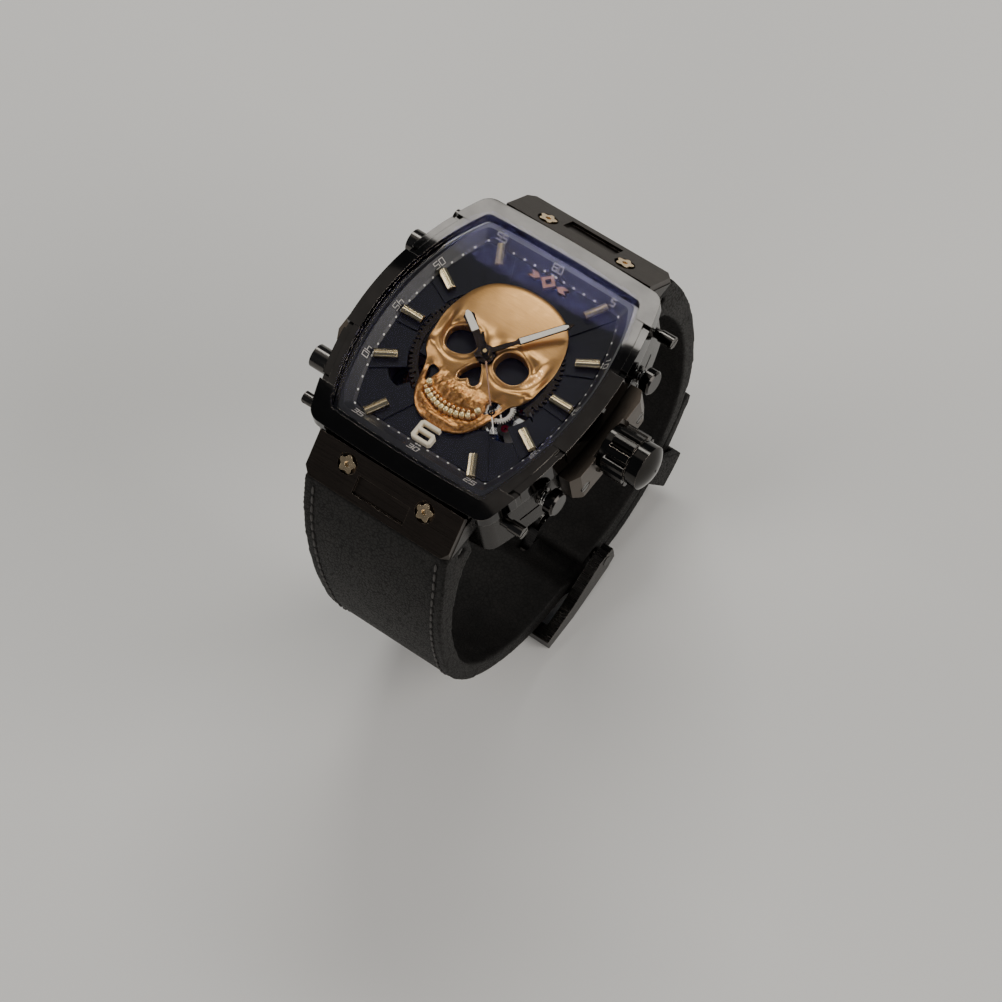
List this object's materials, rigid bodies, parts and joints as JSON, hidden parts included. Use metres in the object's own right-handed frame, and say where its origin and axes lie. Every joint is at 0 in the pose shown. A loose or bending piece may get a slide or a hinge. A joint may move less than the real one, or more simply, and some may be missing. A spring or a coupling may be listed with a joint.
{
  "type": "skeleton wristwatch",
  "caption": "Tonneau wristwatch with stepped black case, skull relief on an openworked dial, automatic movement, crown, pushers and a closed strap with pin buckle.",
  "frame": {"origin": "centre of the outer face of the case back", "axes": "+X to 3 o'clock (crown side), +Y to 12 o'clock, +Z out of the dial"},
  "size_m": [0.0521, 0.0642, 0.0669],
  "materials": {
    "case_black": "polished black coating",
    "bezel_black": "mirror polished black coating",
    "crystal_glass": "coated sapphire",
    "gasket_rubber": "matt",
    "flange_black": "satin",
    "back_steel": "brushed black coating",
    "window_glass": "clear",
    "steel_screws": "polished",
    "hood_brushed": "brushed black coating",
    "gold_screws": "satin",
    "side_satin": "satin black coating",
    "dark_steel": "polished",
    "ring_plastic": "matt",
    "dial_black": "satin lacquer",
    "ornament_dark": "satin",
    "marker_gold": "polished",
    "lume_cream": "satin",
    "numeral_cream": "satin",
    "rose_gold": "satin",
    "skull_gold": "brushed rose gold",
    "plate_dark": "grained dark plating",
    "bridge_steel": "nickel plated, striped",
    "ruby": "polished",
    "barrel_copper": "copper plated",
    "wheel_steel": "polished",
    "wheel_brass": "satin",
    "balance_brass": "polished",
    "blued_steel": "blued",
    "rotor_steel": "brushed",
    "crown_black": "gloss black coating",
    "pusher_black": "gloss black coating",
    "spring_steel": "bright",
    "hand_gold": "polished",
    "seconds_dark": "polished",
    "strap_black": "matt",
    "buckle_black": "brushed black coating"
  },
  "bodies": {
    "case": {"mid_case": "case_black", "bezel": "bezel_black", "crystal": "crystal_glass", "case_gaskets": "gasket_rubber", "rehaut": "flange_black", "case_back": "back_steel", "case_back_window": "window_glass", "back_screws": "steel_screws", "hood_plate_12": "hood_brushed", "hood_plate_6": "hood_brushed", "hood_screws": "gold_screws", "crown_guard": "side_satin", "side_plate": "side_satin", "flank_screws": "dark_steel", "button_tubes": "dark_steel", "left_studs": "dark_steel", "strap_bars": "dark_steel", "movement_ring": "ring_plastic", "dial_plate": "dial_black", "ornament_ring": "ornament_dark", "hour_markers": "marker_gold", "marker_lume": "lume_cream", "numeral_six": "numeral_cream", "ornament_12": "rose_gold", "skull": "skull_gold", "main_plate": "plate_dark", "train_bridge": "bridge_steel", "barrel_bridge": "bridge_steel", "balance_cock": "bridge_steel", "jewels": "ruby", "hairspring": "blued_steel", "rotor_bearing": "wheel_steel", "pusher_springs": "spring_steel", "strap_12": "strap_black", "strap_6": "strap_black", "buckle_frame": "buckle_black", "strap_keeper": "strap_black"},
    "crown": {"crown": "crown_black", "winding_stem": "wheel_steel"},
    "keyless": {"winding_pinion": "wheel_steel"},
    "pusher_upper": {"pusher_upper": "pusher_black"},
    "pusher_lower": {"pusher_lower": "pusher_black"},
    "hour": {"hour_wheel": "wheel_brass", "hour_hand": "hand_gold", "hour_hand_lume": "lume_cream"},
    "centre": {"centre_wheel": "wheel_brass", "minute_hand": "hand_gold", "minute_hand_lume": "lume_cream"},
    "fourth": {"fourth_wheel": "wheel_brass", "second_hand": "seconds_dark"},
    "third": {"third_wheel": "wheel_brass"},
    "escape": {"escape_wheel": "wheel_steel"},
    "fork": {"pallet_fork": "wheel_steel"},
    "balance": {"balance_wheel": "balance_brass"},
    "barrel": {"barrel": "barrel_copper"},
    "ratchet": {"ratchet_wheel": "wheel_steel"},
    "crown_wheel": {"crown_wheel": "wheel_steel"},
    "minute_wheel": {"minute_wheel": "wheel_brass"},
    "rotor": {"rotor": "rotor_steel"},
    "tongue": {"buckle_tongue": "buckle_black"}
  },
  "joints": [
    {"name": "crown_turn", "type": "hinge", "parent": "case", "child": "keyless", "pos_m": [0.012, 0, 0.007], "axis": [1, 0, 0], "continuous": true},
    {"name": "crown_pull", "type": "slide", "parent": "keyless", "child": "crown", "axis": [1, 0, 0], "range_m": [0, 0.0012]},
    {"name": "pusher_upper_press", "type": "slide", "parent": "case", "child": "pusher_upper", "axis": [-1, 0, 0], "range_m": [0, 0.0008], "stiffness_N_per_m": 400, "springref_m": -0.0005, "deforming": ["pusher_springs"]},
    {"name": "pusher_lower_press", "type": "slide", "parent": "case", "child": "pusher_lower", "axis": [-1, 0, 0], "range_m": [0, 0.0008], "stiffness_N_per_m": 400, "springref_m": -0.0005, "deforming": ["pusher_springs"]},
    {"name": "second_spin", "type": "hinge", "parent": "case", "child": "fourth", "pos_m": [0, 0, 0.01], "axis": [0, 0, 1], "continuous": true},
    {"name": "centre_spin", "type": "hinge", "parent": "case", "child": "centre", "pos_m": [0, 0, 0.008], "axis": [0, 0, 1], "continuous": true},
    {"name": "hour_spin", "type": "hinge", "parent": "case", "child": "hour", "pos_m": [0, 0, 0.01], "axis": [0, 0, 1], "continuous": true},
    {"name": "third_spin", "type": "hinge", "parent": "case", "child": "third", "pos_m": [-0.00254, 0.00477, 0.0045], "axis": [0, 0, 1], "continuous": true},
    {"name": "escape_spin", "type": "hinge", "parent": "case", "child": "escape", "pos_m": [0.00512, 0.0009, 0.0045], "axis": [0, 0, 1], "continuous": true},
    {"name": "barrel_spin", "type": "hinge", "parent": "case", "child": "barrel", "pos_m": [-0.00528, -0.00428, 0.0048], "axis": [0, 0, 1], "continuous": true},
    {"name": "minute_wheel_spin", "type": "hinge", "parent": "case", "child": "minute_wheel", "pos_m": [0.00188, 0.00353, 0.0092], "axis": [0, 0, 1], "continuous": true},
    {"name": "ratchet_spin", "type": "hinge", "parent": "case", "child": "ratchet", "pos_m": [-0.00528, -0.00428, 0.0026], "axis": [0, 0, 1], "continuous": true},
    {"name": "crown_wheel_spin", "type": "hinge", "parent": "case", "child": "crown_wheel", "pos_m": [-0.01008, -0.00254, 0.0026], "axis": [0, 0, 1], "continuous": true},
    {"name": "rotor_spin", "type": "hinge", "parent": "case", "child": "rotor", "pos_m": [0, 0, 0.0019], "axis": [0, 0, 1], "continuous": true},
    {"name": "balance_swing", "type": "hinge", "parent": "case", "child": "balance", "pos_m": [0.00774, -0.00649, 0.005], "axis": [0, 0, 1], "range_deg": [-270, 270], "stiffness_Nm_per_rad": 0.0000007, "deforming": ["hairspring"]},
    {"name": "fork_rock", "type": "hinge", "parent": "case", "child": "fork", "pos_m": [0.00589, -0.00127, 0.0047], "axis": [0, 0, 1], "range_deg": [-5, 5]},
    {"name": "tongue_swing", "type": "hinge", "parent": "case", "child": "tongue", "pos_m": [0, 0.0036, -0.0475], "axis": [1, 0, 0], "range_deg": [0, 25]}
  ],
  "couplings": [
    {"joint": "third_spin", "follows": "second_spin", "ratio": -0.13333},
    {"joint": "centre_spin", "follows": "second_spin", "ratio": 0.016667},
    {"joint": "barrel_spin", "follows": "second_spin", "ratio": -0.0025},
    {"joint": "hour_spin", "follows": "second_spin", "ratio": 0.0013889},
    {"joint": "minute_wheel_spin", "follows": "second_spin", "ratio": -0.0055556},
    {"joint": "escape_spin", "follows": "second_spin", "ratio": -12},
    {"joint": "crown_wheel_spin", "follows": "ratchet_spin", "ratio": -1.6154}
  ]
}
